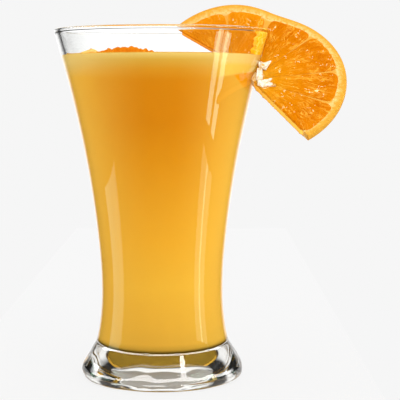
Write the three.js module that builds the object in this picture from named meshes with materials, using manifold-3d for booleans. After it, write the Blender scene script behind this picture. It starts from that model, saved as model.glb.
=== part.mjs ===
// A flared tumbler of orange juice. A slice of orange is slit and pushed onto the rim,
// and a second piece of orange floats in the juice.
// Millimetres, +Z up. The origin is on the axis of the glass, on its flat underside.
import * as THREE from 'three';
import { mergeVertices } from 'three/addons/utils/BufferGeometryUtils.js';
import Module from 'manifold-3d';

const wasm = await Module();
wasm.setup();

const { degToRad, lerp, smoothstep } = THREE.MathUtils;

// The glass: radius and height of the outside, from the foot up to the rim.
const RIM_HEIGHT = 147.4;
const FOOT_CONTACT_RADIUS = 33.2;
const FOOT_RADIUS = 34.6;
const FOOT_WIDEST_HEIGHT = 2.6;
const FOOT_EDGE_INSET = 0.4;
const FOOT_SHOULDER_STATIONS = [
  [34.2, 4.6],
  [32.7, 7.4],
  [30.9, 10.4],
];
const WALL_STATIONS = [
  [28.5, 14.4],
  [27.2, 20.5],
  [26.2, 29.5],
  [26.0, 38.5],
  [26.6, 51.5],
  [28.7, 71.0],
  [31.7, 90.5],
  [35.5, 109.5],
  [40.0, 128.5],
  [44.9, 146.0],
];
const WALL_AT_RIM = 2.1;
const WALL_AT_BASE = 2.6;
const BASE_THICKNESS = 13.4;
const BASE_CORNER = 2.4;
const OUTSIDE_STEPS = 26;
const INSIDE_STEPS = 20;
const CORNER_STEPS = 4;
const LIP_STEPS = 4;
const ROUND_SIDES = 48;

// The juice stands this high, and touching pieces keep this gap.
const JUICE_LEVEL = 137;
const GAP = 0.3;

// Points closer than this are one point.
const SAME_POINT = 1e-4;

// The slice on the rim: a thin wheel of which six segments are left. It is slit from
// its centre to the web. The cut on the inside starts this far up the slit.
const WHEEL_RADIUS = 39.2;
const SLICE_THICKNESS = 3.2;
const ANGLE_INSIDE = degToRad(64);
const ANGLE_OUTSIDE = degToRad(134.4);
const UNCUT_WEB = 10.5;
const INSIDE_CUT_START = 10.2;
const SLICE_ANGLE_STEP = degToRad(5);
const SLICE_RINGS = 5;
const FOLD_ANGLE = degToRad(80);

// The slit's end rests on the rim here. Each lobe leans back, and the lobes are
// folded a little towards each other: the way a lobe faces, its lean and its turn.
const SLIT_ANGLE = degToRad(8);
const SLIT_END_RADIUS = 43.6;
const SLIT_END_HEIGHT = 147;
const OUTSIDE_LOBE = { faces: degToRad(-5.3), lean: degToRad(44.1), turn: degToRad(-8.1) };
const INSIDE_LOBE = { faces: degToRad(-0.7), lean: degToRad(19.6), turn: degToRad(-21.8) };

// The floating piece: the top of a wheel that stands a little proud of the juice.
const FLOATING_RADIUS = 36;
const FLOATING_DEPTH = 6;
const FLOATING_PROUD = 2.3;
const FLOATING_PLACE = new THREE.Vector2(-13.5, -15);
const FLOATING_LEAN = degToRad(22);
const FLOATING_STEPS = 14;

// Colours of the real thing.
const GLASS_COLOUR = 0xe4ebee;
const JUICE_COLOUR = 0xf5b13c;
const ORANGE_COLOUR = 0xf39a12;

function solidFrom(positions, indices) {
  const geometry = new THREE.BufferGeometry();
  geometry.setAttribute('position', new THREE.Float32BufferAttribute(positions, 3));
  geometry.setIndex(indices);
  return solidOf(geometry);
}

function solidOf(geometry) {
  geometry.deleteAttribute('normal');
  geometry.deleteAttribute('uv');
  const merged = mergeVertices(geometry, SAME_POINT);
  const kept = [];
  const index = merged.index.array;
  for (let i = 0; i < index.length; i += 3) {
    const [a, b, c] = [index[i], index[i + 1], index[i + 2]];
    if (a !== b && b !== c && c !== a) kept.push(a, b, c);
  }
  return new wasm.Manifold(
    new wasm.Mesh({
      numProp: 3,
      vertProperties: new Float32Array(merged.attributes.position.array),
      triVerts: new Uint32Array(kept),
    }),
  );
}

function pieceOf(solid, name, material) {
  const { vertProperties, triVerts } = solid.getMesh();
  const geometry = new THREE.BufferGeometry();
  geometry.setAttribute('position', new THREE.BufferAttribute(vertProperties, 3));
  geometry.setIndex(new THREE.BufferAttribute(triVerts, 1));
  geometry.computeVertexNormals();
  const piece = new THREE.Mesh(geometry, material);
  piece.name = name;
  return piece;
}

// A profile of radius and height points, turned about the axis of the glass.
function turned(profile) {
  const lathe = new THREE.LatheGeometry(profile, ROUND_SIDES);
  lathe.rotateX(Math.PI / 2);
  return solidOf(lathe);
}

const pointsOf = (stations) => stations.map(([radius, height]) => new THREE.Vector2(radius, height));

// The flowing outside line of the glass between its stations.
const outsideLine = new THREE.SplineCurve(pointsOf(WALL_STATIONS));
const wallFoot = outsideLine.getPoint(0);
const wallTop = outsideLine.getPoint(1);

function wallThickness(height) {
  return THREE.MathUtils.mapLinear(height, 0, RIM_HEIGHT, WALL_AT_BASE, WALL_AT_RIM);
}

// A point of the wall, moved square to it by a distance: inwards if negative.
function besideWall(share, distance) {
  const point = outsideLine.getPoint(share);
  const along = outsideLine.getTangent(share);
  return new THREE.Vector2(point.x + along.y * distance, point.y - along.x * distance);
}

function outsidePoints(grow) {
  const points = [];
  for (let i = 0; i <= OUTSIDE_STEPS; i += 1) points.push(besideWall(i / OUTSIDE_STEPS, grow));
  return points;
}

// The inside line runs from the top of the wall down to the floor of the glass.
function insidePoints(grow) {
  const points = [];
  for (let i = INSIDE_STEPS; i >= 0; i -= 1) {
    const share = i / INSIDE_STEPS;
    const point = besideWall(share, -wallThickness(outsideLine.getPoint(share).y) - grow);
    if (point.y > BASE_THICKNESS + BASE_CORNER) points.push(point);
  }
  return points;
}

// The rounded corner between the wall's inside and the floor, down to the axis.
function floorPoints(grow) {
  const floor = BASE_THICKNESS + grow;
  const radius = insidePoints(grow).at(-1).x;
  const points = [];
  for (let i = 0; i <= CORNER_STEPS; i += 1) {
    const turn = (i / CORNER_STEPS) * (Math.PI / 2);
    const inset = BASE_CORNER * (1 - Math.cos(turn));
    points.push(new THREE.Vector2(radius - inset, floor + BASE_CORNER * (1 - Math.sin(turn))));
  }
  points.push(new THREE.Vector2(0, floor));
  return points;
}

// The rounded lip, from the outside over the top to the inside.
function lipPoints(grow) {
  const outer = besideWall(1, grow);
  const inner = besideWall(1, -WALL_AT_RIM - grow);
  const middle = outer.clone().add(inner).divideScalar(2);
  const half = outer.distanceTo(inner) / 2;
  const start = Math.atan2(outer.y - middle.y, outer.x - middle.x);
  const points = [];
  for (let i = 1; i < LIP_STEPS; i += 1) {
    const turn = start + (i / LIP_STEPS) * Math.PI;
    const rise = half * Math.sin(turn);
    points.push(new THREE.Vector2(middle.x + half * Math.cos(turn), middle.y + rise));
  }
  return points;
}

function footPoints() {
  const edge = new THREE.QuadraticBezierCurve(
    new THREE.Vector2(FOOT_CONTACT_RADIUS, 0),
    new THREE.Vector2(FOOT_RADIUS - FOOT_EDGE_INSET, 0),
    new THREE.Vector2(FOOT_RADIUS, FOOT_WIDEST_HEIGHT),
  );
  return [new THREE.Vector2(0, 0), ...edge.getPoints(CORNER_STEPS), ...pointsOf(FOOT_SHOULDER_STATIONS)];
}

function makeGlass() {
  const profile = [
    ...footPoints(),
    ...outsidePoints(0),
    ...lipPoints(0),
    ...insidePoints(0),
    ...floorPoints(0),
  ];
  return turned(profile);
}

// The wall of the glass a gap thicker all round: what the slit of the slice goes over.
function makeWallClearance() {
  const profile = [...outsidePoints(GAP), ...lipPoints(GAP), ...insidePoints(GAP)];
  profile.push(profile[0].clone());
  return turned(profile);
}

function makeJuiceBody() {
  const profile = floorPoints(GAP).reverse();
  const wall = insidePoints(GAP).reverse();
  const below = wall.filter((point) => point.y < JUICE_LEVEL);
  const above = wall.find((point) => point.y >= JUICE_LEVEL);
  const last = below.at(-1);
  const share = (JUICE_LEVEL - last.y) / (above.y - last.y);
  const edge = last.clone().lerp(above, share);
  return turned([...profile, ...below.slice(1), edge, new THREE.Vector2(0, JUICE_LEVEL)]);
}

// How a lobe of the slice is turned: its face, its upright and its side direction.
function lobeTurn({ faces, lean, turn }) {
  const face = new THREE.Vector3(
    Math.sin(faces) * Math.cos(lean),
    -Math.cos(faces) * Math.cos(lean),
    Math.sin(lean),
  );
  const upright = new THREE.Vector3(0, 0, 1).addScaledVector(face, -face.z).normalize();
  const side = new THREE.Vector3().crossVectors(upright, face);
  const matrix = new THREE.Matrix4().makeBasis(side, upright, face);
  const inPlane = new THREE.Quaternion().setFromAxisAngle(new THREE.Vector3(0, 0, 1), turn);
  return new THREE.Quaternion().setFromRotationMatrix(matrix).multiply(inPlane);
}

const insideTurn = lobeTurn(INSIDE_LOBE);
const outsideTurn = lobeTurn(OUTSIDE_LOBE);
const slitEnd = new THREE.Vector3(
  SLIT_END_RADIUS * Math.cos(SLIT_ANGLE),
  SLIT_END_RADIUS * Math.sin(SLIT_ANGLE),
  SLIT_END_HEIGHT,
);

// A point of the flat wheel, measured from its centre with the slit along +Y, put
// where the folded slice has it. The web above the slit's end takes up the fold.
function folded(x, y, depth, isInside) {
  const fromEnd = new THREE.Vector3(x, y - (WHEEL_RADIUS - UNCUT_WEB), -depth);
  const bearing = Math.atan2(fromEnd.x, fromEnd.y);
  let share = smoothstep(bearing, -FOLD_ANGLE, FOLD_ANGLE);
  if (Math.abs(bearing) > Math.PI / 2) share = isInside ? 0 : 1;
  const turn = insideTurn.clone().slerp(outsideTurn, share);
  return fromEnd.applyQuaternion(turn).add(slitEnd);
}

// One lobe: a fan of lines from its lower corner out to the rind. The first runs up
// the slit and the last along the cut. With grow, the same fan is larger all round.
function makeLobe(isInside, grow) {
  const side = isInside ? -1 : 1;
  const span = isInside ? ANGLE_INSIDE : ANGLE_OUTSIDE;
  const start = isInside ? INSIDE_CUT_START : 0;
  const slitLength = WHEEL_RADIUS - UNCUT_WEB;
  const columns = Math.ceil(span / SLICE_ANGLE_STEP);
  const heights = [start, (start + slitLength) / 2];
  for (let i = 0; i <= SLICE_RINGS; i += 1) heights.push(lerp(slitLength, WHEEL_RADIUS, i / SLICE_RINGS));
  const middle = new THREE.Vector2(Math.sin((side * span) / 2), Math.cos(span / 2));
  const corner = new THREE.Vector2(0, start).addScaledVector(middle, -grow);
  const positions = [];
  for (const depth of [-grow, SLICE_THICKNESS + grow]) {
    for (const height of heights) {
      const share = (height - start) / (WHEEL_RADIUS - start);
      for (let j = 0; j <= columns; j += 1) {
        const bearing = (side * span * j) / columns;
        const rind = new THREE.Vector2(Math.sin(bearing), Math.cos(bearing));
        rind.multiplyScalar(WHEEL_RADIUS + grow);
        const point = j === 0 ? new THREE.Vector2(0, height) : corner.clone().lerp(rind, share);
        const along = rind.sub(corner).normalize();
        if (j === 0) point.x -= side * grow;
        if (j === columns) point.add(new THREE.Vector2(along.y, -along.x).multiplyScalar(side * grow));
        positions.push(...folded(point.x, point.y, depth, isInside).toArray());
      }
    }
  }
  const row = columns + 1;
  const layer = row * heights.length;
  const indices = [];
  const quad = (a, b, c, d) => {
    if (isInside) indices.push(a, c, b, a, d, c);
    else indices.push(a, b, c, a, c, d);
  };
  for (let i = 0; i + 1 < heights.length; i += 1) {
    for (let j = 0; j < columns; j += 1) {
      const a = i * row + j;
      quad(a, a + 1, a + row + 1, a + row);
      quad(layer + a, layer + a + row, layer + a + row + 1, layer + a + 1);
    }
    const first = i * row;
    const last = first + columns;
    quad(first, first + row, first + row + layer, first + layer);
    quad(last, last + layer, last + row + layer, last + row);
  }
  for (let j = 0; j < columns; j += 1) {
    const outer = (heights.length - 1) * row + j;
    quad(outer, outer + 1, outer + 1 + layer, outer + layer);
    quad(j, j + layer, j + 1 + layer, j + 1);
  }
  return solidFrom(positions, indices);
}

function largestOf(solid) {
  const pieces = solid.decompose();
  return pieces.sort((a, b) => b.volume() - a.volume())[0];
}

function makeSlice() {
  const whole = makeLobe(true, 0).add(makeLobe(false, 0));
  return largestOf(whole.subtract(makeWallClearance()));
}

// The floating piece: the cap of a wheel, cut off straight below.
function makeFloating(grow) {
  const below = FLOATING_RADIUS - FLOATING_DEPTH;
  const reach = Math.acos(below / FLOATING_RADIUS);
  const outline = [];
  for (let i = 0; i <= FLOATING_STEPS; i += 1) {
    const bearing = -reach + (2 * reach * i) / FLOATING_STEPS;
    const radius = FLOATING_RADIUS + grow;
    outline.push(new THREE.Vector2(radius * Math.sin(bearing), radius * Math.cos(bearing) - FLOATING_RADIUS));
  }
  outline.push(new THREE.Vector2(outline.at(-1).x, -FLOATING_DEPTH - grow));
  outline.push(new THREE.Vector2(outline[0].x, -FLOATING_DEPTH - grow));
  const cap = new THREE.ExtrudeGeometry(new THREE.Shape(outline.reverse()), {
    depth: SLICE_THICKNESS + 2 * grow,
    bevelEnabled: false,
  });
  cap.translate(0, 0, -SLICE_THICKNESS / 2 - grow);
  cap.rotateX(Math.PI / 2 - FLOATING_LEAN);
  cap.translate(FLOATING_PLACE.x, FLOATING_PLACE.y, JUICE_LEVEL + FLOATING_PROUD);
  return solidOf(cap);
}

function makeJuice() {
  return makeJuiceBody().subtract(makeLobe(true, GAP)).subtract(makeFloating(GAP));
}

const glassMaterial = new THREE.MeshStandardMaterial({
  color: GLASS_COLOUR,
  roughness: 0.03,
  metalness: 0,
  transparent: true,
  opacity: 0.35,
});
const juiceMaterial = new THREE.MeshStandardMaterial({ color: JUICE_COLOUR, roughness: 0.25, metalness: 0 });
const orangeMaterial = new THREE.MeshStandardMaterial({ color: ORANGE_COLOUR, roughness: 0.4, metalness: 0 });

const drink = new THREE.Group();
drink.add(pieceOf(makeGlass(), 'glass', glassMaterial));
drink.add(pieceOf(makeJuice(), 'juice', juiceMaterial));
drink.add(pieceOf(makeSlice(), 'rim_slice', orangeMaterial));
drink.add(pieceOf(makeFloating(0), 'floating_slice', orangeMaterial.clone()));

export default drink;
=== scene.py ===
"""A flared tumbler of orange juice with a slit slice of orange on its rim, in a pale studio.

Metres, +Z up. The origin is on the axis of the glass, at the bottom of its foot.
"""

import math

import bpy
import numpy as np
from mathutils import Matrix, Vector, noise


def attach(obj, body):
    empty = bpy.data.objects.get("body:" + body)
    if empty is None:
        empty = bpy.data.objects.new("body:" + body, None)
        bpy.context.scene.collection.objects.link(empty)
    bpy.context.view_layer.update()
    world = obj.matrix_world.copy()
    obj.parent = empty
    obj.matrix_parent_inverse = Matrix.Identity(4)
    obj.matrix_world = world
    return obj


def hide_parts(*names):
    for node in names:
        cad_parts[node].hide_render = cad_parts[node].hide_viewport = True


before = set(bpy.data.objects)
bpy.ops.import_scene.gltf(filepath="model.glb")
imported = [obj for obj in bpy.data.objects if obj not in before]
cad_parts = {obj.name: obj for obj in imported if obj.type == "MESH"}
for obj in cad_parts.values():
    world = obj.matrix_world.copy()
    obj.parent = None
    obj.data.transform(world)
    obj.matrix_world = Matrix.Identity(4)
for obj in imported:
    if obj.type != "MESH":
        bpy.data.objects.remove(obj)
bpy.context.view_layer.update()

# The studio: a pale table top that runs on into a pale surround, a large soft light at
# the right, and light boxes at both sides whose mirror images run down the glass.
BACKDROP_TONE = 0.9216
CAMERA_PLACE = (0.01625, -0.496, 0.1257)
CAMERA_TILT = math.radians(84.18)
CAMERA_LENS = 104.85
TABLE_HALF_WIDTH = 0.09
TABLE_FRONT = -0.13
TABLE_BACK = 0.5
TABLE_DROP = 0.0003

scene = bpy.context.scene
scene.view_settings.view_transform = "Standard"
scene.cycles.use_denoising = True
scene.cycles.max_bounces = 16
scene.cycles.transmission_bounces = 12

camera_data = bpy.data.cameras.new("camera")
camera_data.sensor_width = 36
camera_data.lens = CAMERA_LENS
camera = bpy.data.objects.new("camera", camera_data)
camera.location = CAMERA_PLACE
camera.rotation_euler = (CAMERA_TILT, 0, 0)
scene.collection.objects.link(camera)
scene.camera = camera


def wired(tree, kind, inputs=None, **settings):
    """A node added to a tree. Its inputs are values, or the outputs that feed them, by socket."""
    node = tree.nodes.new("ShaderNode" + kind)
    for name, value in settings.items():
        setattr(node, name, value)
    for socket, value in (inputs or {}).items():
        if isinstance(value, bpy.types.NodeSocket):
            tree.links.new(value, node.inputs[socket])
        else:
            node.inputs[socket].default_value = value
    return node


def reckoned(tree, operation, *values):
    """The outcome of a sum, such as MULTIPLY, on numbers and outputs."""
    return wired(tree, "Math", dict(enumerate(values)), operation=operation).outputs[0]


def spread(tree, value, start, full, low=0.0, high=1.0, smooth=False):
    """A value stretched to go from low, where it starts, to high, where it is full."""
    limits = {"Value": value, "From Min": start, "From Max": full, "To Min": low, "To Max": high}
    kind = "SMOOTHSTEP" if smooth else "LINEAR"
    return wired(tree, "MapRange", limits, interpolation_type=kind).outputs["Result"]


table_mesh = bpy.data.meshes.new("table_top")
corners = [
    (-TABLE_HALF_WIDTH, TABLE_FRONT, 0), (TABLE_HALF_WIDTH, TABLE_FRONT, 0),
    (TABLE_HALF_WIDTH, TABLE_BACK, 0), (-TABLE_HALF_WIDTH, TABLE_BACK, 0),
]
table_mesh.from_pydata(corners, [], [(0, 1, 2, 3)])
table_top = bpy.data.objects.new("table_top", table_mesh)
table_top.location.z = -TABLE_DROP
scene.collection.objects.link(table_top)

table_material = bpy.data.materials.new("table_top")
table_material.use_nodes = True
tree = table_material.node_tree
shader = tree.nodes["Principled BSDF"]
shader.inputs["Base Color"].default_value = (0.547, 0.547, 0.547, 1)
shader.inputs["Roughness"].default_value = 0.9
shader.inputs["Specular IOR Level"].default_value = 0.0
# seen straight on it gives off nearly the tone of the surround, so that no horizon shows
seen = wired(tree, "LightPath")
even = wired(tree, "Emission", {"Color": (BACKDROP_TONE, BACKDROP_TONE, BACKDROP_TONE, 1)})
how_even = reckoned(tree, "MULTIPLY_ADD", seen.outputs["Is Camera Ray"], 0.77, 0.15)
table_tone = wired(
    tree, "MixShader", {"Fac": how_even, 1: shader.outputs["BSDF"], 2: even.outputs["Emission"]}
)
tree.links.new(table_tone.outputs["Shader"], tree.nodes["Material Output"].inputs["Surface"])
table_mesh.materials.append(table_material)

# The surround: an even pale tone behind the drink, and a little more light from the right.
# What the glass mirrors is dark, apart from its back and a strip of light high at the front.
world = bpy.data.worlds.new("surround")
world.use_nodes = True
world_tree = world.node_tree
where = wired(world_tree, "TexCoord")
ray = wired(world_tree, "LightPath")


def brightness_along(direction, start, full, dark, bright):
    """The surround's brightness, from dark to bright as a direction turns towards the given one."""
    towards = wired(
        world_tree, "VectorMath",
        {0: where.outputs["Generated"], 1: Vector(direction).normalized()}, operation="DOT_PRODUCT",
    )
    return spread(world_tree, towards.outputs["Value"], start, full, dark, bright, smooth=True)


mirrored = brightness_along((0, 1, 0), 0.8, 0.97, 0.03, 1.3)
lighting = brightness_along((0.85, -0.4, 0.35), -1.0, 1.0, 1.65, 2.25)

# what is seen straight through the glass, from any side, is as pale as the surround
PALE_THROUGH = 1.2
level = brightness_along((0, 0, 1), 0.1, 0.3, PALE_THROUGH, 0.04)
not_mirrored = reckoned(world_tree, "LESS_THAN", ray.outputs["Glossy Depth"], 0.5)
through = reckoned(world_tree, "MULTIPLY", not_mirrored, level)
around = reckoned(world_tree, "MAXIMUM", mirrored, through)

# the strip, between two tilted lines, which the shoulder of the foot mirrors; only what
# mirrors outright shows it, so that it neither lights the drink nor shows through the glass
STRIP_BRIGHTNESS = 12.0
strip_start = brightness_along((0, 0.194, 1), 0.155, 0.175, 0.0, 1.0)
strip_end = brightness_along((0, 0.314, 1), 0.38, 0.40, 1.0, 0.0)
strip_front = brightness_along((0, 1, 0), 0.35, 0.6, 1.0, 0.0)
strip = reckoned(world_tree, "MULTIPLY", strip_start, strip_end)
outright = reckoned(world_tree, "LESS_THAN", ray.outputs["Transmission Depth"], 0.5)
outright = reckoned(world_tree, "MULTIPLY", outright, ray.outputs["Is Glossy Ray"])
outright = reckoned(world_tree, "MULTIPLY", outright, strip_front)
strip = reckoned(world_tree, "MULTIPLY", strip, outright)
in_the_glass = reckoned(world_tree, "MULTIPLY_ADD", strip, STRIP_BRIGHTNESS, around)

lit = wired(
    world_tree, "Mix",
    {"Factor": ray.outputs["Diffuse Depth"], "A": in_the_glass, "B": lighting}, clamp_factor=True,
)
behind = wired(
    world_tree, "Mix",
    {"Factor": ray.outputs["Is Camera Ray"], "A": lit.outputs["Result"], "B": BACKDROP_TONE},
)
surround = world_tree.nodes["Background"]
surround.inputs["Color"].default_value = (1, 1, 1, 1)
world_tree.links.new(behind.outputs["Result"], surround.inputs["Strength"])
scene.world = world

# The light boxes. Those at the right stand close together, as the panes of a window do, so
# that their images run side by side. Their greenish tint keeps the images pale on the juice.
PANE_TINT = (0.6, 1.0, 0.75)
CARD_TINT = (0.6, 1.0, 0.8)
PANE_MIDDLE = 0.066
LOW_MIDDLE = 0.0175
CARD_MIDDLE = 0.018


def soft_light(name, place, aim, size, power, tint=None):
    """A flat soft box turned towards a point. With a tint it only shows in what mirrors."""
    data = bpy.data.lights.new(name, "AREA")
    data.shape = "RECTANGLE"
    data.size, data.size_y = size
    data.energy = power
    light = bpy.data.objects.new(name, data)
    light.location = place
    direction = Vector(aim) - Vector(place)
    light.rotation_euler = direction.to_track_quat("-Z", "Y").to_euler()
    light.visible_camera = False
    if tint:
        data.color = tint
        light.visible_diffuse = False
    scene.collection.objects.link(light)


soft_light("window", (0.45, -0.5, 0.75), (0.02, 0, 0.13), (0.14, 0.14), 1.2)
for name, x, y in (("pane_near", 0.1655, -0.0845), ("pane_far", 0.1735, -0.0535)):
    soft_light(name, (x, y, PANE_MIDDLE), (0.03, -0.03, PANE_MIDDLE), (0.021, 0.042), 0.014, PANE_TINT)
for name, x, width, power in (("pane_low", 0.173, 0.07, 0.0115), ("gap_low", 0.172, 0.008, 0.0032)):
    soft_light(name, (x, -0.06, LOW_MIDDLE), (0.03, -0.03, LOW_MIDDLE), (width, 0.034), power, PANE_TINT)
soft_light("card_left", (-0.179, -0.019, CARD_MIDDLE), (0, 0, CARD_MIDDLE), (0.085, 0.036), 0.016, CARD_TINT)

# The glass: one piece of clear soda glass, pressed and fire-polished, with a rounded
# lip and a thick foot with a hollow under it. It stands on the table on its foot.
# Lines of radius and height, in millimetres.
FOOT_LINE = [(34.2, 4.6), (32.7, 7.4), (30.9, 10.4)]
WALL_LINE = [
    (28.5, 14.4), (27.2, 20.5), (26.2, 29.5), (26.0, 38.5), (26.6, 51.5),
    (28.7, 71.0), (31.7, 90.5), (35.5, 109.5), (40.0, 128.5), (44.9, 146.0),
]
RIM_HEIGHT = 147.4
WALL_AT_BASE = 2.6
WALL_AT_RIM = 2.1
FLOOR_HEIGHT = 13.4
FLOOR_CORNER = 2.4
LIP_BEAD = 0.32
LIP_SQUARE = 0.35
FOOT_CONTACT_RADIUS = 33.2
FOOT_EDGE_RADIUS = 34.2
FOOT_RADIUS = 34.6
FOOT_WIDEST_HEIGHT = 2.6
FOOT_RING_RADIUS = 28
HOLLOW_RADIUS = 22.0
HOLLOW_HEIGHT = 9.5
WAVE_SIZE = 0.45
WAVE_TOP = 13
WAVE_START_RADIUS = 23
WAVE_FADE = 4
ROUND_SIDES = 160
WALL_STEPS = 90
SHOULDER_STEPS = 16
LIP_STEPS = 24
CORNER_STEPS = 9


def flowing(points, steps):
    """A smooth line through the points, with its points evenly shared between them."""
    points = np.array(points, float)
    line = []
    for k in range(steps + 1):
        place = k / steps * (len(points) - 1)
        i = min(int(place), len(points) - 2)
        t = place - i
        p0, p1, p2, p3 = (points[max(0, min(len(points) - 1, i + n))] for n in (-1, 0, 1, 2))
        v0, v1 = (p2 - p0) / 2, (p3 - p1) / 2
        cubed = (2 * p1 - 2 * p2 + v0 + v1) * t**3
        squared = (-3 * p1 + 3 * p2 - 2 * v0 - v1) * t**2
        line.append(cubed + squared + v0 * t + p1)
    return np.array(line)


def beside(line, distance):
    """The line moved square to itself, outwards where the distance is positive."""
    along = np.gradient(line, axis=0)
    along /= np.linalg.norm(along, axis=1, keepdims=True)
    return line + np.stack([along[:, 1], -along[:, 0]], 1) * np.reshape(distance, (-1, 1))


def floor_corner(line, floor, corner):
    """The rounded corner between the inside line and the floor, then the floor's middle."""
    points = []
    for a in np.linspace(0, math.pi / 2, CORNER_STEPS):
        points.append((line[0][0] - corner * (1 - math.cos(a)), floor + corner * (1 - math.sin(a))))
    return points + [(points[-1][0] * share, floor) for share in (0.75, 0.5, 0.25, 0)]


def turned(name, profile):
    """A mesh turned about the axis of the glass from radius and height points in millimetres."""
    verts, rows = [], []
    for radius, height in np.array(profile, float) / 1000:
        if radius < 1e-7:
            rows.append([len(verts)] * ROUND_SIDES)
            verts.append((0, 0, height))
            continue
        rows.append(list(range(len(verts), len(verts) + ROUND_SIDES)))
        for k in range(ROUND_SIDES):
            a = 2 * math.pi * k / ROUND_SIDES
            verts.append((radius * math.cos(a), radius * math.sin(a), height))
    faces = []
    for low, high in zip(rows, rows[1:]):
        for k in range(ROUND_SIDES):
            after = (k + 1) % ROUND_SIDES
            face = [low[k], low[after], high[after], high[k]]
            faces.append([v for n, v in enumerate(face) if v != face[n - 1]])
    mesh = bpy.data.meshes.new(name)
    mesh.from_pydata(verts, [], faces)
    mesh.polygons.foreach_set("use_smooth", [True] * len(mesh.polygons))
    piece = bpy.data.objects.new(name, mesh)
    scene.collection.objects.link(piece)
    return piece


outside = flowing(WALL_LINE, WALL_STEPS)
wall_thickness = np.interp(outside[:, 1], [0, RIM_HEIGHT], [WALL_AT_BASE, WALL_AT_RIM])
inside = beside(outside, -wall_thickness)
inside = inside[inside[:, 1] > FLOOR_HEIGHT + FLOOR_CORNER]
# the fire-polished lip is a little thicker than the wall, which leaves a faint step inside
steps = np.linspace(0, 1, 10)[1:]
to_lip = inside[-2] + (inside[-1] - inside[-2]) * (0.5 + 0.5 * steps)[:, None]
to_lip[:, 0] -= LIP_BEAD * steps**2 * (3 - 2 * steps)
inside = np.concatenate([inside[:-1], to_lip])

lip_middle = (outside[-1] + inside[-1]) / 2
lip_half = np.linalg.norm(outside[-1] - inside[-1]) / 2
lip_start = math.atan2(*(outside[-1] - lip_middle)[::-1])
lip = []
for a in np.linspace(0, math.pi, LIP_STEPS)[1:-1]:
    across = math.copysign(abs(math.cos(a)) ** LIP_SQUARE, math.cos(a)) * lip_half
    up = math.sin(a) ** LIP_SQUARE * lip_half
    lip.append((
        lip_middle[0] + across * math.cos(lip_start) - up * math.sin(lip_start),
        lip_middle[1] + across * math.sin(lip_start) + up * math.cos(lip_start),
    ))
foot_edge = []
for t in np.linspace(0, 1, 7):
    radius = (1 - t) ** 2 * FOOT_CONTACT_RADIUS + 2 * t * (1 - t) * FOOT_EDGE_RADIUS + t * t * FOOT_RADIUS
    foot_edge.append((radius, t * t * FOOT_WIDEST_HEIGHT))
shoulder = flowing([foot_edge[-1], *FOOT_LINE, WALL_LINE[0]], SHOULDER_STEPS)[1:-1]
hollow = [
    (HOLLOW_RADIUS * math.sin(a), HOLLOW_HEIGHT * math.cos(a)) for a in np.linspace(0, math.pi / 2, 24)
]
under_foot = [*hollow, (HOLLOW_RADIUS + 1, 0), (FOOT_RING_RADIUS, 0), *foot_edge]
profile = [*under_foot, *shoulder, *outside, *lip, *inside[::-1]]
profile += floor_corner(inside, FLOOR_HEIGHT, FLOOR_CORNER)
glass = turned("glass_wall", profile)
# the pressed foot is a little wavy all round
for vertex in glass.data.vertices:
    x, y, z = vertex.co * 1000
    radius = math.hypot(x, y)
    if z < WAVE_TOP and radius > WAVE_START_RADIUS:
        wave = noise.noise(Vector((x / 9, y / 9, z / 5)))
        wave *= min(1.0, (WAVE_TOP - z) / WAVE_FADE) * min(1.0, (radius - WAVE_START_RADIUS) / WAVE_FADE)
        vertex.co.xy *= 1 + WAVE_SIZE * wave / radius

clear_glass = bpy.data.materials.new("clear_glass")
clear_glass.use_nodes = True
tree = clear_glass.node_tree
shader = tree.nodes["Principled BSDF"]
shader.inputs["Base Color"].default_value = (0.99, 0.995, 0.99, 1)
shader.inputs["Roughness"].default_value = 0.0
shader.inputs["IOR"].default_value = 1.5
shader.inputs["Transmission Weight"].default_value = 1.0
# where it is thick, as in the foot, the glass takes some of the light
thick = wired(tree, "VolumeAbsorption", {"Color": (0.42, 0.38, 0.30, 1), "Density": 9})
tree.links.new(thick.outputs["Volume"], tree.nodes["Material Output"].inputs["Volume"])
glass.data.materials.append(clear_glass)
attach(glass, "root")
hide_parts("glass")

# The juice: pressed oranges, cloudy and full of fine pulp. It fills the glass, so its skin
# reaches just into the wall, and at its level it creeps up the wall a little.
JUICE_LEVEL = 137.0
INTO_WALL = 0.12
CREEP_TOP = 0.4
CREEP = [(0.5, 0.3), (1.5, 0.05)]


def coloured(tree, value, stops):
    """The colour at a value, from stops of position and colour."""
    ramp = wired(tree, "ValToRGB", {"Fac": value})
    elements = ramp.color_ramp.elements
    for element, (at, colour) in zip(elements, (stops[0], stops[-1])):
        element.position, element.color = at, (*colour, 1)
    for at, colour in stops[1:-1]:
        elements.new(at).color = (*colour, 1)
    return ramp.outputs["Color"]


def mixed(tree, share, base, colour):
    """The colour laid over the base by a share. Both are colours, or the outputs that give them."""
    under, over = (
        given if isinstance(given, bpy.types.NodeSocket) else (*given, 1) for given in (base, colour)
    )
    sockets = {"Factor": share, "A": under, "B": over}
    return wired(tree, "Mix", sockets, data_type="RGBA").outputs["Result"]


def new_surface(name, roughness, shine):
    """A new material of a roughness and specular level, with its node tree and its shader."""
    material = bpy.data.materials.new(name)
    material.use_nodes = True
    shader = material.node_tree.nodes["Principled BSDF"]
    shader.inputs["Roughness"].default_value = roughness
    shader.inputs["Specular IOR Level"].default_value = shine
    return material, material.node_tree, shader


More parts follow.
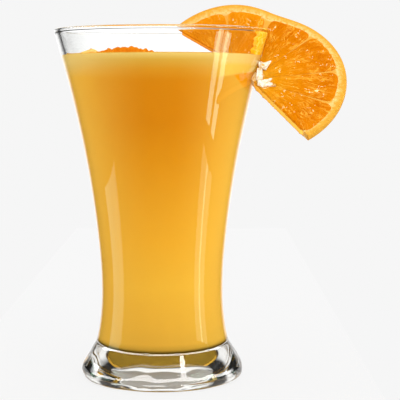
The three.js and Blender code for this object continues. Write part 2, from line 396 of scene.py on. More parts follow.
juice_line = beside(outside, INTO_WALL - wall_thickness)
in_the_wall = (juice_line[:, 1] > FLOOR_HEIGHT + FLOOR_CORNER) & (juice_line[:, 1] < JUICE_LEVEL + CREEP_TOP)
juice_line = juice_line[in_the_wall]
top_radius = juice_line[-1][0]
flat_radius = top_radius - CREEP[-1][0]
profile = floor_corner(juice_line, FLOOR_HEIGHT - INTO_WALL, FLOOR_CORNER)[::-1] + list(juice_line)
profile += [(top_radius - inset, JUICE_LEVEL + rise) for inset, rise in CREEP]
profile += [(flat_radius * share, JUICE_LEVEL) for share in (0.97, 0.8, 0.6, 0.4, 0.2, 0)]
juice = turned("juice_body", profile)
juice.data.set_sharp_from_angle(angle=math.radians(50))

cloudy_juice, tree, shader = new_surface("cloudy_juice", 0.35, 0.0)
place = wired(tree, "TexCoord")
millimetres = wired(
    tree, "VectorMath", {0: place.outputs["Object"], 1: (1000, 1000, 1000)}, operation="MULTIPLY"
)
spot = wired(tree, "SeparateXYZ", {0: millimetres.outputs["Vector"]})
# deepest in colour high up in its middle; paler just under its level, a painted glow of the light from above;
# and a dark olive band right at the floor, painted shade where the corner of the floor lies in shadow
height = reckoned(tree, "DIVIDE", spot.outputs["Z"], JUICE_LEVEL)
deep = coloured(tree, height, [
    (0.0975, (0.95, 0.60, 0.08)), (0.0985, (0.08, 0.045, 0.008)), (0.104, (0.10, 0.06, 0.01)),
    (0.113, (0.64, 0.36, 0.04)), (0.128, (0.82, 0.46, 0.053)), (0.30, (0.89, 0.52, 0.052)),
    (0.44, (0.86, 0.45, 0.034)), (0.56, (0.79, 0.38, 0.023)), (0.69, (0.72, 0.305, 0.011)),
    (0.80, (0.655, 0.245, 0.006)), (0.92, (0.655, 0.245, 0.006)), (0.955, (0.68, 0.31, 0.02)),
    (0.982, (0.68, 0.40, 0.055)), (1.0, (0.82, 0.60, 0.17)),
])
# painted light: paler at the sides and just under its level, a painted glow that stands for the light
# coming through the juice where it is thin
painted_glow = mixed(tree, spread(tree, height, 0.93, 0.975), (0.90, 0.53, 0.07), (0.86, 0.62, 0.19))
facing = wired(tree, "LayerWeight", {"Blend": 0.5})
painted_glow_share = spread(tree, facing.outputs["Facing"], 0.02, 0.24)
painted_glow_share = reckoned(tree, "MULTIPLY", painted_glow_share, spread(tree, height, 0.104, 0.125))
skin = mixed(tree, painted_glow_share, deep, painted_glow)

# The lobe of the slice that hangs into the drink touches the wall low down at the right,
# and its flesh shows as a deep patch there. The lighter zone above it, under the level, is painted light.
above_edge = reckoned(tree, "MULTIPLY_ADD", spot.outputs["X"], -0.195, spot.outputs["Z"])
right_of_edge = reckoned(tree, "MULTIPLY_ADD", spot.outputs["Z"], 0.723, spot.outputs["X"])
in_front = (spot.outputs["Y"], 4.0, -2.0)


def masked(base, colour, share, *limits):
    """The colour laid over the base where all limits hold: a value, where it starts and is full."""
    for value, start, full in limits:
        share = reckoned(tree, "MULTIPLY", share, spread(tree, value, start, full, smooth=True))
    return mixed(tree, share, base, colour)


# painted light: a lighter zone above the patch, and a band under the level at the right
skin = masked(
    skin, (0.92, 0.62, 0.10), 0.9,
    (spot.outputs["X"], 20.0, 27.0), (above_edge, 122.4, 123.6), in_front,
)
skin = masked(
    skin, (0.92, 0.66, 0.22), 0.8,
    (spot.outputs["X"], 20.0, 26.0), (spot.outputs["Z"], 132.0, 134.5), in_front,
)
skin = masked(
    skin, (0.93, 0.36, 0.002), 0.95,
    (above_edge, 123.1, 122.5), (right_of_edge, 121.6, 122.8), (spot.outputs["Z"], 120.0, 127.5), in_front,
)
# from above it looks deep again
upright = wired(tree, "SeparateXYZ", {0: place.outputs["Normal"]}).outputs["Z"]
skin = masked(skin, (0.66, 0.33, 0.03), 1.0, (upright, 0.6, 0.95), (spot.outputs["Z"], 136.0, 136.5))
tree.links.new(skin, shader.inputs["Base Color"])
juice.data.materials.append(cloudy_juice)
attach(juice, "root")
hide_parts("juice")

# The rind of the slice on the rim: peel, pith, membranes and core of a thin wheel of fresh
# orange, cut away to six segments. It is slit from its centre and pushed over the wall, and
# its two lobes fold a little towards each other. Millimetres, and degrees from the slit.
WHEEL_RADIUS = 39.2
SLICE_THICKNESS = 3.2
ANGLE_INSIDE = 64.0
ANGLE_OUTSIDE = 134.4
UNCUT_WEB = 10.5
INSIDE_CUT_START = 10.2
FOLD_ANGLE = math.radians(80)
SLIT_LENGTH = WHEEL_RADIUS - UNCUT_WEB
SLIT_END_RADIUS = 43.6
SLIT_END_ANGLE = math.radians(8)
SLIT_END_HEIGHT = 147.0
WALL_GAP = 0.15
EDGE_START = 0.985
FACE_ROWS = 70
LOBE_COLUMNS = 90

slit_end = np.array([
    SLIT_END_RADIUS * math.cos(SLIT_END_ANGLE), SLIT_END_RADIUS * math.sin(SLIT_END_ANGLE), SLIT_END_HEIGHT
])


def lobe_turn(faces, lean, turn):
    """How a lobe is turned: the way it faces, how far it leans back and its turn in its own plane."""
    faces, lean, turn = map(math.radians, (faces, lean, turn))
    face = Vector((math.sin(faces) * math.cos(lean), -math.cos(faces) * math.cos(lean), math.sin(lean)))
    upright = (Vector((0, 0, 1)) - face * face.z).normalized()
    side = upright.cross(face)
    return Matrix((side, upright, face)).transposed() @ Matrix.Rotation(turn, 3, "Z")


inside_turn = lobe_turn(-0.7, 19.6, -21.8)
outside_turn = lobe_turn(-5.3, 44.1, -8.1)
fold_axis, fold_angle = (inside_turn.transposed() @ outside_turn).to_quaternion().to_axis_angle()


def folded(flat, is_inside):
    """Points of the flat wheel, from its centre with the slit along +Y, put where the slice has them."""
    x, y = flat[:, 0], flat[:, 1] - SLIT_LENGTH
    bearing = np.arctan2(x, y)
    share = np.clip((bearing + FOLD_ANGLE) / (2 * FOLD_ANGLE), 0, 1)
    share = share * share * (3 - 2 * share)
    share = np.where(np.abs(bearing) > math.pi / 2, 0.0 if is_inside else 1.0, share)
    share = np.where(np.hypot(x, y) < 1e-6, 0.5, share)
    rel = np.stack([x, y, -flat[:, 2]], 1)
    axis = np.array(fold_axis)
    angle = (share * fold_angle)[:, None]
    along = axis * (rel @ axis)[:, None] * (1 - np.cos(angle))
    bent = rel * np.cos(angle) + np.cross(axis, rel) * np.sin(angle) + along
    return bent @ np.array(inside_turn).T + slit_end


def off_the_wall(points, is_inside):
    """Points that would be in the wall of the glass, moved to the side they belong to."""
    radius = np.hypot(points[:, 0], points[:, 1])
    low = points[:, 2] < RIM_HEIGHT + WALL_GAP
    if is_inside:
        limit = np.interp(points[:, 2], inside[:, 1], inside[:, 0]) - WALL_GAP
        wanted = np.where(low & (radius > limit), limit, radius)
    else:
        limit = np.interp(points[:, 2], outside[:, 1], outside[:, 0]) + WALL_GAP
        wanted = np.where(low & (radius < limit), limit, radius)
    moved = points.copy()
    moved[:, :2] *= (wanted / radius)[:, None]
    return moved


def on_the_slice(flat, depth, is_inside):
    """Points at a depth under the front of the flat wheel: where the slice has them, and as they are."""
    points = np.column_stack([flat, np.broadcast_to(depth, len(flat))])
    return off_the_wall(folded(points, is_inside), is_inside), points


def slice_mesh(name, grids):
    """One mesh from grids of points. Each grid is (points in mm, wheel position), rows by columns."""
    verts, faces, wheel = [], [], []
    for points, marks in grids:
        rows, columns = points.shape[:2]
        base = len(verts)
        verts += (points.reshape(-1, 3) / 1000).tolist()
        wheel += marks.reshape(-1, 3).tolist()
        for i in range(rows - 1):
            for j in range(columns - 1):
                a = base + i * columns + j
                faces.append((a, a + 1, a + columns + 1, a + columns))
    mesh = bpy.data.meshes.new(name)
    mesh.from_pydata(verts, [], faces)
    wheel_place = mesh.attributes.new("wheel", "FLOAT_VECTOR", "POINT")
    wheel_place.data.foreach_set("vector", np.array(wheel).ravel())
    mesh.polygons.foreach_set("use_smooth", [True] * len(mesh.polygons))
    piece = bpy.data.objects.new(name, mesh)
    scene.collection.objects.link(piece)
    return piece


def lobe_grid(is_inside, ring, depths):
    """The skin of a lobe: a row of points across it for each share of the way out and its depth."""
    side, span, start = (-1, ANGLE_INSIDE, INSIDE_CUT_START) if is_inside else (1, ANGLE_OUTSIDE, 0.0)
    bearings = side * math.radians(span) * np.linspace(0, 1, LOBE_COLUMNS)
    rim = np.stack([np.sin(bearings), np.cos(bearings)], 1) * WHEEL_RADIUS
    rows, marks = [], []
    for share, depth in zip(ring, depths):
        flat = np.array([0, start]) * (1 - share) + rim * share
        rows.append(on_the_slice(flat, depth, is_inside)[0])
        radius = np.hypot(flat[:, 0], flat[:, 1])
        bearing = np.degrees(np.arctan2(flat[:, 0], flat[:, 1]))
        marks.append(np.stack([radius, bearing, np.full(len(flat), depth)], 1))
    return np.array(rows), np.array(marks)


# from the core out over the front, round the edge and back in over the back
edge_turn = np.linspace(0, math.pi, 9)[1:-1]
face_ring = np.linspace(0.0, EDGE_START, FACE_ROWS)
edge_ring = EDGE_START + (1 - EDGE_START) * np.sin(edge_turn)
edge_depth = SLICE_THICKNESS * (1 - np.cos(edge_turn)) / 2
ring = np.concatenate([face_ring, edge_ring, face_ring[::-1]])
depths = np.concatenate([np.zeros(FACE_ROWS), edge_depth, np.full(FACE_ROWS, SLICE_THICKNESS)])
half = len(ring) // 2 + 1
grids = []
for is_inside in (True, False):
    points, marks = lobe_grid(is_inside, ring, depths)
    if is_inside:
        points, marks = points[:, ::-1], marks[:, ::-1]
    grids.append((points, marks))
    # the cut faces on both sides of the lobe
    for column in (0, -1):
        grids.append(tuple(
            np.stack([grid[:half, column], grid[-half:, column][::-1]]) for grid in (points, marks)
        ))
rind = slice_mesh("slice_rind", grids)

orange_rind, tree, shader = new_surface("orange_rind", 0.5, 0.08)
wheel = wired(tree, "Attribute", attribute_name="wheel")
radius = wired(tree, "SeparateXYZ", {0: wheel.outputs["Vector"]}).outputs["X"]
place = wired(tree, "TexCoord")
mottle, blotch = (
    wired(tree, "TexNoise", {"Vector": place.outputs["Object"], "Scale": size, "Detail": 3}).outputs["Fac"]
    for size in (700, 750)
)
# from the core out: whitish core, pale membranes, cream pith, then the oily peel
uneven = reckoned(tree, "MULTIPLY_ADD", mottle, 3.6, radius)
layers = coloured(tree, reckoned(tree, "DIVIDE", uneven, WHEEL_RADIUS + 1.8), [
    (0.0, (0.64, 0.50, 0.27)), (0.20, (0.60, 0.42, 0.18)), (0.33, (0.50, 0.23, 0.03)),
    (0.88, (0.50, 0.24, 0.03)), (0.91, (0.58, 0.385, 0.135)), (0.945, (0.54, 0.31, 0.07)),
    (0.965, (0.51, 0.255, 0.026)), (1.0, (0.42, 0.195, 0.01)),
])
stained = spread(tree, blotch, 0.48, 0.62, high=0.8)
tree.links.new(mixed(tree, stained, layers, (0.51, 0.23, 0.018)), shader.inputs["Base Color"])
pores = wired(tree, "Bump", {"Strength": 0.35, "Distance": 0.0004, "Height": mottle})
tree.links.new(pores.outputs["Normal"], shader.inputs["Normal"])
rind.data.materials.append(orange_rind)
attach(rind, "root")
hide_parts("rim_slice")

# The flesh of the slice: six segments of juicy pulp, grown between thin membranes and a
# little proud of the cut. Each is packed with long pulp cells that run out from the core.
# A segment is the bearings of its two sides, the reach of its flesh and where it starts.
SEGMENTS = [
    (-64.6, -30.6, 35.5, 12.0), (-30.2, -0.4, 35.4, 12.0), (2.2, 36.6, 35.5, 4.2),
    (36.8, 74.7, 35.6, 3.4), (74.9, 104.7, 35.4, 3.6), (104.9, ANGLE_OUTSIDE, 36.8, 3.2),
]
SEGMENT_CORNER = 3.4
PULP_PROUD = 0.42
SWELL_SHARE = 0.35
BORDER_SUNK = 0.6
RAGGED_SHARE = 0.008
ABOVE_CUT = 0.25
MEMBRANE_HALF = 0.03
MEMBRANE_WIDENS = 0.5
MEMBRANE_WIDENS_FROM = 17
CELL_LENGTH = 4.5
CELLS_ROUND = 24
CUT_REACH = 35.6
CUT_OUT = 0.14
CUT_ONTO_FACE = 1.3
CUT_CORNER = 0.8
CUT_ROWS = 21
CUT_COLUMNS = 120


def wedge(low, high, reach, start):
    """The outline of a segment with rounded corners at the rind, as points of the flat wheel."""
    is_cut = high >= ANGLE_OUTSIDE
    low, high = math.radians(low), math.radians(high)
    swing = SEGMENT_CORNER / reach
    shoulder = reach - SEGMENT_CORNER

    def at(radius, bearing):
        return np.array([radius * math.sin(bearing), radius * math.cos(bearing)])

    def side(radius, bearing, inwards):
        if is_cut and inwards < 0:
            ragged = noise.noise(Vector((radius * 1.1, 5.0, 0.0)))
            return at(radius, bearing + (0.35 + 0.5 * ragged) / radius)
        # the membranes get wider towards the rind
        wide = min(max((radius - MEMBRANE_WIDENS_FROM) / MEMBRANE_WIDENS_FROM, 0), 1)
        return at(radius, bearing + inwards * (MEMBRANE_HALF + MEMBRANE_WIDENS * wide * wide) / radius)

    def bend(p, corner, q):
        return [(1 - t) ** 2 * p + 2 * t * (1 - t) * corner + t * t * q for t in np.linspace(0, 1, 10)[1:-1]]

    path = [at(reach, low + swing + (high - low - 2 * swing) * t) for t in np.linspace(0, 1, 50)]
    path += bend(path[-1], side(reach, high, -1), side(shoulder, high, -1))
    path += [side(shoulder + (start - shoulder) * t, high, -1) for t in np.linspace(0, 1, 46)]
    path += [side(start + (shoulder - start) * t, low, 1) for t in np.linspace(0, 1, 46)]
    path += bend(path[-1], side(reach, low, 1), path[0])
    return np.array(path)


def cut_line(is_inside, reach):
    """A long cut of the slice: where it starts, where it ends and its direction."""
    side, angle, start = (-1, ANGLE_INSIDE, INSIDE_CUT_START) if is_inside else (1, ANGLE_OUTSIDE, 0.0)
    bearing = side * math.radians(angle)
    foot = np.array([0, start])
    end = reach * np.array([math.sin(bearing), math.cos(bearing)])
    return foot, end, (end - foot) / np.linalg.norm(end - foot)


def kept_above_cut(path):
    """Points past the inside cut of the slice, brought back onto it."""
    foot, _, along = cut_line(True, WHEEL_RADIUS)
    square = np.array([-along[1], along[0]])
    beyond = (path - foot) @ square
    return path - np.maximum(beyond + ABOVE_CUT, 0)[:, None] * square


def pulp_rise(flat, face):
    """How proud the pulp is at points of the flat wheel, from 0 in a seam to 1 on a pulp cell."""
    found = []
    for x, y in flat:
        radius, bearing = math.hypot(x, y), math.atan2(x, y)
        drift = noise.noise(Vector((x / 6, y / 6, 3.0 + face)))
        point = Vector((bearing * CELLS_ROUND + 1.2 * drift, radius / CELL_LENGTH + drift, 9.0 * face))
        distances = noise.voronoi(point)[0]
        found.append(min(1.0, (distances[1] - distances[0]) * 2.2))
    return np.sqrt(found)


grids = []
shares = np.concatenate([np.linspace(0, 0.955, 44), [0.975, 0.99, 1.0, 1.0]])
border = len(shares) - 1
for low, high, reach, start in SEGMENTS:
    is_inside = high < 0
    outline = wedge(low, high, reach, start)
    jitter = np.array([noise.noise(Vector((x / 1.7, y / 1.7, 1.5))) for x, y in outline])
    outline = outline * (1 + RAGGED_SHARE * jitter)[:, None]
    if is_inside:
        outline = kept_above_cut(outline)
    middle = outline.mean(0)
    outline = np.concatenate([outline, outline[:1]])
    rows, marks = [], []
    for face in (0, 1):
        for k in range(border + 1) if face == 0 else range(border, -1, -1):
            share = shares[k]
            flat = middle * (1 - share) + outline * share
            swell = np.array([noise.noise(Vector((x / 5, y / 5, 4.0 + face))) for x, y in flat])
            proud = PULP_PROUD * math.sqrt(1 - share**12)
            rise = proud * (0.5 + 0.55 * pulp_rise(flat, face)) + SWELL_SHARE * proud * swell
            if k == border:
                rise = np.full(len(flat), -BORDER_SUNK)
            placed, marked = on_the_slice(flat, -rise if face == 0 else SLICE_THICKNESS + rise, is_inside)
            rows.append(placed)
            marks.append(marked)
    grids.append((np.array(rows), np.array(marks)))

# the pulp that shows on the two long cuts, rough and a little proud of them
for is_inside in (True, False):
    foot, end, along = cut_line(is_inside, CUT_REACH)
    away = (-1 if is_inside else 1) * np.array([along[1], -along[0]])
    rows, marks = [], []
    for turn in np.linspace(-1, 1, CUT_ROWS):
        flat = foot + (end - foot) * np.linspace(0.06, 1, CUT_COLUMNS)[:, None]
        # round the cut from one face of the slab to the other, and a little onto each face
        around = min(abs(turn) / CUT_CORNER, 1.0) * math.pi / 2
        onto = max(0.0, abs(turn) - CUT_CORNER) / (1 - CUT_CORNER)
        proud = SLICE_THICKNESS / 2 + PULP_PROUD - 0.3 * onto**2
        depth = SLICE_THICKNESS / 2 + math.copysign(math.sin(around) ** 0.6, turn) * proud
        out = CUT_OUT * max(0.0, math.cos(around)) ** 0.5 - CUT_ONTO_FACE * onto
        rough = np.array([noise.noise(Vector((x * 1.3, y * 1.3, depth * 0.8))) for x, y in flat])
        flat = flat + away * (out * (1 + 0.9 * rough) - 0.1)[:, None]
        placed, marked = on_the_slice(flat, depth, is_inside)
        rows.append(placed)
        marks.append(marked)
    grids.append((np.array(rows), np.array(marks)))
flesh = slice_mesh("slice_flesh", grids)

# The grain of all the pulp: long cells that run out from the core. It gives where the seams
# between them lie, each cell's own shade, the longer pale fibres and small painted glints, painted highlights
# of the wet pulp.
pulp = bpy.data.node_groups.new("orange_pulp", "ShaderNodeTree")
pulp.interface.new_socket("Wheel", in_out="INPUT", socket_type="NodeSocketVector")
for name, usual in (("Cell Length", CELL_LENGTH), ("Cells Round", CELLS_ROUND)):
    pulp.interface.new_socket(name, in_out="INPUT", socket_type="NodeSocketFloat").default_value = usual
for name in ("Radius", "Seam", "Shade", "Fibre", "Painted Glint", "Height"):
    pulp.interface.new_socket(name, in_out="OUTPUT", socket_type="NodeSocketFloat")
given = pulp.nodes.new("NodeGroupInput")
on_wheel = given.outputs["Wheel"]
flat_place = wired(pulp, "VectorMath", {0: on_wheel, 1: (1, 1, 0)}, operation="MULTIPLY")
radius = wired(pulp, "VectorMath", {0: flat_place.outputs["Vector"]}, operation="LENGTH").outputs["Value"]
apart = wired(pulp, "SeparateXYZ", {0: on_wheel})
bearing = reckoned(pulp, "ARCTAN2", apart.outputs["X"], apart.outputs["Y"])
drift = wired(pulp, "TexNoise", {"Vector": on_wheel, "Scale": 0.16, "Detail": 2.0})
curl = wired(pulp, "TexNoise", {"Vector": on_wheel, "Scale": 0.55, "Detail": 1.0})
drifted = reckoned(
    pulp, "ADD",
    spread(pulp, drift.outputs["Fac"], 0.0, 1.0, -2.2, 2.2),
    spread(pulp, curl.outputs["Fac"], 0.0, 1.0, -1.1, 1.1),
)
across = reckoned(pulp, "MULTIPLY_ADD", bearing, given.outputs["Cells Round"], drifted)
outwards = reckoned(pulp, "DIVIDE", radius, given.outputs["Cell Length"])
outwards = reckoned(pulp, "ADD", outwards, drifted)
point = wired(pulp, "CombineXYZ", {"X": across, "Y": outwards, "Z": apart.outputs["Z"]}).outputs[0]
cells = wired(pulp, "TexVoronoi", {"Vector": point, "Scale": 1.0}, voronoi_dimensions="2D")
edges = wired(
    pulp, "TexVoronoi", {"Vector": point, "Scale": 1.0}, voronoi_dimensions="2D", feature="DISTANCE_TO_EDGE"
)
seam = spread(pulp, edges.outputs["Distance"], 0.0, 0.12, 1.0, 0.0)
height = spread(pulp, edges.outputs["Distance"], 0.0, 0.35, smooth=True)
shade = wired(pulp, "SeparateXYZ", {0: cells.outputs["Color"]}).outputs["X"]
# the fibres lie along thin lines of a stretched noise, and only in patches
long_point = wired(pulp, "VectorMath", {0: point, 1: (0.75, 0.16, 0.0)}, operation="MULTIPLY")
strands = wired(
    pulp, "TexNoise", {"Vector": long_point.outputs[0], "Scale": 1.0, "Detail": 3.0, "Roughness": 0.6}
)
from_line = reckoned(pulp, "ABSOLUTE", reckoned(pulp, "SUBTRACT", strands.outputs["Fac"], 0.5))
strand = spread(pulp, from_line, 0.0, 0.038, 1.0, 0.0)
patches = wired(pulp, "TexNoise", {"Vector": on_wheel, "Scale": 0.22, "Detail": 1.0})
fibre = reckoned(pulp, "MULTIPLY", strand, spread(pulp, patches.outputs["Fac"], 0.42, 0.60))
# the painted glints, painted highlights of the wet pulp, are a few spots of a shaken pattern
shaken = wired(
    pulp, "VectorMath", {0: curl.outputs["Color"], 1: (7.0, 7.0, 0.0), 2: on_wheel}, operation="MULTIPLY_ADD"
)
painted_glints = wired(pulp, "TexVoronoi", {"Vector": shaken.outputs[0], "Scale": 0.5}, voronoi_dimensions="2D")
few = wired(pulp, "SeparateXYZ", {0: painted_glints.outputs["Color"]}).outputs["X"]
painted_glint = reckoned(
    pulp, "MULTIPLY",
    spread(pulp, painted_glints.outputs["Distance"], 0.08, 0.2, 1.0, 0.0), reckoned(pulp, "GREATER_THAN", few, 0.87),
)
result = pulp.nodes.new("NodeGroupOutput")
for name, socket in (
    ("Radius", radius), ("Seam", seam), ("Shade", shade),
    ("Fibre", fibre), ("Painted Glint", painted_glint), ("Height", height),
):
    pulp.links.new(socket, result.inputs[name])


def grained(tree):
    """The wheel position of a piece of orange, and the grain of its pulp there."""
    wheel = wired(tree, "Attribute", attribute_name="wheel").outputs["Vector"]
    grain = wired(tree, "Group", node_tree=pulp)
    tree.links.new(wheel, grain.inputs["Wheel"])
    return wheel, grain.outputs


orange_flesh, tree, shader = new_surface("orange_flesh", 0.3, 0.0)
wheel, grain = grained(tree)
tone = coloured(tree, spread(tree, grain["Radius"], 6.0, 36.0), [
    (0.0, (0.51, 0.24, 0.013)), (0.15, (0.49, 0.185, 0.0026)), (0.5, (0.43, 0.124, 0.0008)),
    (0.85, (0.37, 0.086, 0.0004)), (1.0, (0.41, 0.11, 0.0015)),
])
flesh_colour = mixed(tree, spread(tree, grain["Shade"], 0.0, 1.0, 0.0, 0.5), tone, (0.47, 0.146, 0.0015))
# the seams and fibres are the pulp's own colours; the glints are painted highlights
for mask, amount, colour in (
    ("Seam", 0.3, (0.52, 0.207, 0.004)),
    ("Fibre", 0.65, (0.70, 0.39, 0.05)),
    ("Painted Glint", 0.85, (0.78, 0.64, 0.37)),
):
    flesh_colour = mixed(tree, reckoned(tree, "MULTIPLY", grain[mask], amount), flesh_colour, colour)
# the lobe inside the glass is lighter
spot = wired(tree, "SeparateXYZ", {0: wheel})
soaked = spread(tree, spot.outputs["X"], 1.0, -3.0, high=0.3)
flesh_colour = mixed(tree, soaked, flesh_colour, (0.66, 0.27, 0.005))
# on the long cuts the pulp is torn and shows paler; as the cuts face away from the light, this is partly
# painted light, lifting them out of their shade
from_front = spread(tree, spot.outputs["Z"], 0.1, 0.7)
from_back = spread(tree, spot.outputs["Z"], 3.3, 2.6)
torn_and_painted_light = reckoned(tree, "MULTIPLY", reckoned(tree, "MULTIPLY", from_front, from_back), 0.9)
flesh_colour = mixed(tree, torn_and_painted_light, flesh_colour, (0.95, 0.55, 0.09))
tree.links.new(flesh_colour, shader.inputs["Base Color"])
ripple = wired(tree, "Bump", {"Strength": 0.22, "Distance": 0.0003, "Height": grain["Height"]})
tree.links.new(ripple.outputs["Normal"], shader.inputs["Normal"])
flesh.data.materials.append(orange_flesh)
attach(flesh, "root")
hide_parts("rim_slice")

# Pulp of the slice, pressed flat and wet against the inside of the wall where the slit
# grips the rim. It reaches just into the glass, so that it shows through the wall.
PRESSED_BEARING = 66
PRESSED_SPAN = 52
PRESSED_TOP = 146.3
PRESSED_THICKNESS = 0.5
PRESSED_RAGGED = 5
PRESSED_COLUMNS = 40
PRESSED_EDGE_OFF = 0.35

rows, marks = [], []
for turn in np.linspace(0, 1, 17):
    heights = np.linspace(JUICE_LEVEL - 0.3, PRESSED_TOP, PRESSED_COLUMNS)
    ragged = np.array([noise.noise(Vector((turn * 9, h / 1.5, 2.0))) for h in heights])
    azimuth = np.radians(PRESSED_BEARING + PRESSED_SPAN * turn + PRESSED_RAGGED * ragged)
    into = INTO_WALL if 0 < turn < 1 else -PRESSED_EDGE_OFF
    radius = np.interp(heights, inside[:, 1], inside[:, 0]) + into
    rows.append(np.stack([radius * np.sin(azimuth), -radius * np.cos(azimuth), heights], 1))
    marks.append(np.stack([
        np.full(PRESSED_COLUMNS, turn * 9 - 4), heights - 118, np.full(PRESSED_COLUMNS, -0.5)
    ], 1))
front, front_marks = np.array(rows), np.array(marks)
back = front.copy()
back[..., :2] *= 1 - PRESSED_THICKNESS / np.hypot(back[..., 0], back[..., 1])[..., None]
pressed = slice_mesh("pressed_pulp", [(front, front_marks), (back[::-1], front_marks[::-1])])

wet_pulp, tree, shader = new_surface("wet_pulp", 0.4, 0.0)
wheel, grain = grained(tree)
streak = reckoned(tree, "MAXIMUM", grain["Fibre"], grain["Seam"])
wet_colour = mixed(tree, streak, (0.95, 0.48, 0.01), (0.95, 0.70, 0.15))
tree.links.new(wet_colour, shader.inputs["Base Color"])
# painted glow: it gives off light of its own colour, which stands for the light that comes through it from
# behind
tree.links.new(wet_colour, shader.inputs["Emission Color"])
shader.inputs["Emission Strength"].default_value = 0.35
pressed.data.materials.append(wet_pulp)
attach(pressed, "root")
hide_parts("rim_slice")

# The torn core of the slice: white bits of pith and membrane that stand up where the slit
# was cut through the middle of the wheel, and still hang on it. Each has its outline in
# millimetres on the flat wheel, and how far it stands up.
TORN_BITS = [
    ([(0.9, 10.1), (3.4, 8.9), (6.6, 10.7), (5.8, 7.9), (5.3, 5.5), (2.2, 6.2)], 0.9),
    ([(1.5, 5.9), (3.6, 5.8), (4.6, 2.4), (4.9, -1.6), (3.7, -3.4), (2.1, -0.2)], 0.6),
    ([
        (3.1, -1.2), (6.3, -0.8), (8.6, 0.7), (7.8, -1.7), (10.9, -3.0), (7.3, -3.6), (5.6, -4.6), (3.3, -3.6)
    ], 1.1),
]
# from the middle of a bit out and down its edge: share of the way out, share of its height
TORN_STEPS = [(share, 1) for share in np.linspace(0, 0.97, 12)] + [(1.0, 0.75), (1.0, 0.3), (0.93, 0)]
CREASE = 0.7
CORE_GAP = 0.15

grids = []
for number, (outline, proud) in enumerate(TORN_BITS):
    outline = np.array(outline)
    edge = []
    for here, after in zip(outline, np.roll(outline, -1, 0)):
        edge += [here + (after - here) * t for t in np.linspace(0, 1, 8)[:-1]]
    edge = np.array([*edge, edge[0]])
    middle = edge[:-1].mean(0)
    rows, marks = [], []
    for share, level in TORN_STEPS:
        flat = middle * (1 - share) + edge * share
        crease = np.array([noise.noise(Vector((x * 0.8, y * 0.8, 5.0 + number))) for x, y in flat])
        rise = proud * (0.55 + 0.6 * share**2) + CREASE * crease
        placed, marked = on_the_slice(flat, -level * rise - CORE_GAP, False)
        rows.append(placed)
        marks.append(marked)
    grids.append((np.array(rows), np.array(marks)))
torn = slice_mesh("torn_core", grids)

white_pith, tree, shader = new_surface("white_pith", 0.4, 0.2)
wheel = wired(tree, "Attribute", attribute_name="wheel").outputs["Vector"]
fibres = wired(tree, "TexNoise", {"Vector": wheel, "Scale": 0.4, "Detail": 2.0})
soaked = spread(tree, fibres.outputs["Fac"], 0.5, 0.66)
tree.links.new(mixed(tree, soaked, (0.70, 0.63, 0.52), (0.56, 0.33, 0.09)), shader.inputs["Base Color"])
torn.data.materials.append(white_pith)
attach(torn, "root")
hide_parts("rim_slice")

# The floating piece: the flesh of a second wheel of orange, afloat in the juice, of which
# only the rough upper edge stands out. A scrap of pulp that came off it floats beside it.
FLOATING_RADIUS = 36.0
FLOATING_DEPTH = 6.0
FLOATING_LEAN = math.radians(22)
FLOATING_TOP = np.array([-13.5, -15.0, JUICE_LEVEL + 2.3])
FLOATING_COLUMNS = 150
FACE_SHARES = (0.0, 0.35, 0.7, 0.88)
SCRAP_PLACE = (-28.1, -15.0)
SCRAP_HALF_SIZE = (4.2, 2.4)
SCRAP_HEIGHT = 2.6
SCRAP_SUNK = 0.6
SCRAP_MARK = 75


def afloat(x, up, depth):
    """A point of the flat cap, measured from its top edge, put where it floats."""
    lean = math.pi / 2 - FLOATING_LEAN
    turned_up = np.stack([
        x, up * math.cos(lean) - depth * math.sin(lean), up * math.sin(lean) + depth * math.cos(lean)
    ], -1)
    return turned_up + FLOATING_TOP


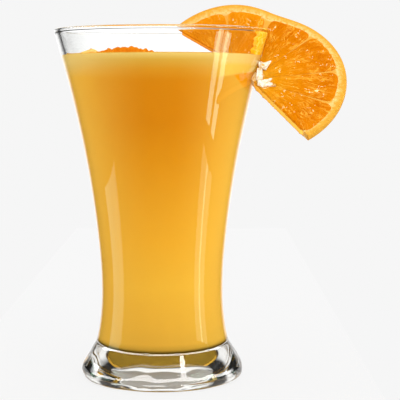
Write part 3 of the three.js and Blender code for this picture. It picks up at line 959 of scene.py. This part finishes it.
# over the front face, round the edge and back in over the back face
edge_turns = np.linspace(0, math.pi, 13)[1:-1]
stations = [(0.0, share) for share in FACE_SHARES] + [(turn, 1.0) for turn in edge_turns]
stations += [(math.pi, share) for share in FACE_SHARES[::-1]]
reach = math.acos(1 - FLOATING_DEPTH / FLOATING_RADIUS)
bearings = np.linspace(-reach, reach, FLOATING_COLUMNS)
rows, marks = [], []
for turn, share in stations:
    depth = -math.cos(turn) * SLICE_THICKNESS / 2 * (1 if share < 1 else 0.97)
    depth = np.full(FLOATING_COLUMNS, depth)
    rough = np.array([noise.noise(Vector((b * 26, turn * 1.1, 7.0))) for b in bearings])
    edge = FLOATING_RADIUS - 0.55 * (1 - math.sin(turn)) + rough * (share > 0.5)
    x, y = edge * np.sin(bearings), edge * np.cos(bearings)
    up = -FLOATING_DEPTH * (1 - share) + (y - FLOATING_RADIUS) * share
    rows.append(afloat(x, up, depth))
    marks.append(np.stack([x, y, depth], -1))
grids = [(np.array(rows), np.array(marks))]

# the scrap of pulp, as a low uneven heap
around = np.linspace(0, 2 * math.pi, 49)
rows, marks = [], []
for level in np.linspace(0, 1, 9):
    places = [Vector((math.cos(a) * 1.5, math.sin(a) * 1.5, level * 2)) for a in around[:-1]]
    rough = np.array([noise.noise(place) for place in [*places, places[0]]])
    wide = (1 - level**2.5) * (1 + 0.35 * rough)
    x = SCRAP_PLACE[0] + SCRAP_HALF_SIZE[0] * wide * np.cos(around)
    y = SCRAP_PLACE[1] + SCRAP_HALF_SIZE[1] * wide * np.sin(around)
    up = -SCRAP_SUNK + SCRAP_HEIGHT * level + 0.5 * rough * level
    rows.append(np.stack([x, y, JUICE_LEVEL + up], -1))
    # its wheel position lies off the wheel, where the material is pale
    marks.append(np.stack([x + SCRAP_MARK, y, up], -1))
grids.append((np.array(rows), np.array(marks)))
floating = slice_mesh("floating_flesh", grids)

floating_orange, tree, shader = new_surface("floating_orange", 0.4, 0.0)
wheel, grain = grained(tree)
seams = reckoned(tree, "MULTIPLY", grain["Seam"], 0.5)
floating_colour = mixed(tree, seams, (0.52, 0.135, 0.002), (0.70, 0.30, 0.02))
off_wheel = spread(tree, grain["Radius"], 38.0, 39.0, high=0.8)
floating_colour = mixed(tree, off_wheel, floating_colour, (0.86, 0.52, 0.16))
tree.links.new(floating_colour, shader.inputs["Base Color"])
floating.data.materials.append(floating_orange)
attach(floating, "root")
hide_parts("floating_slice")
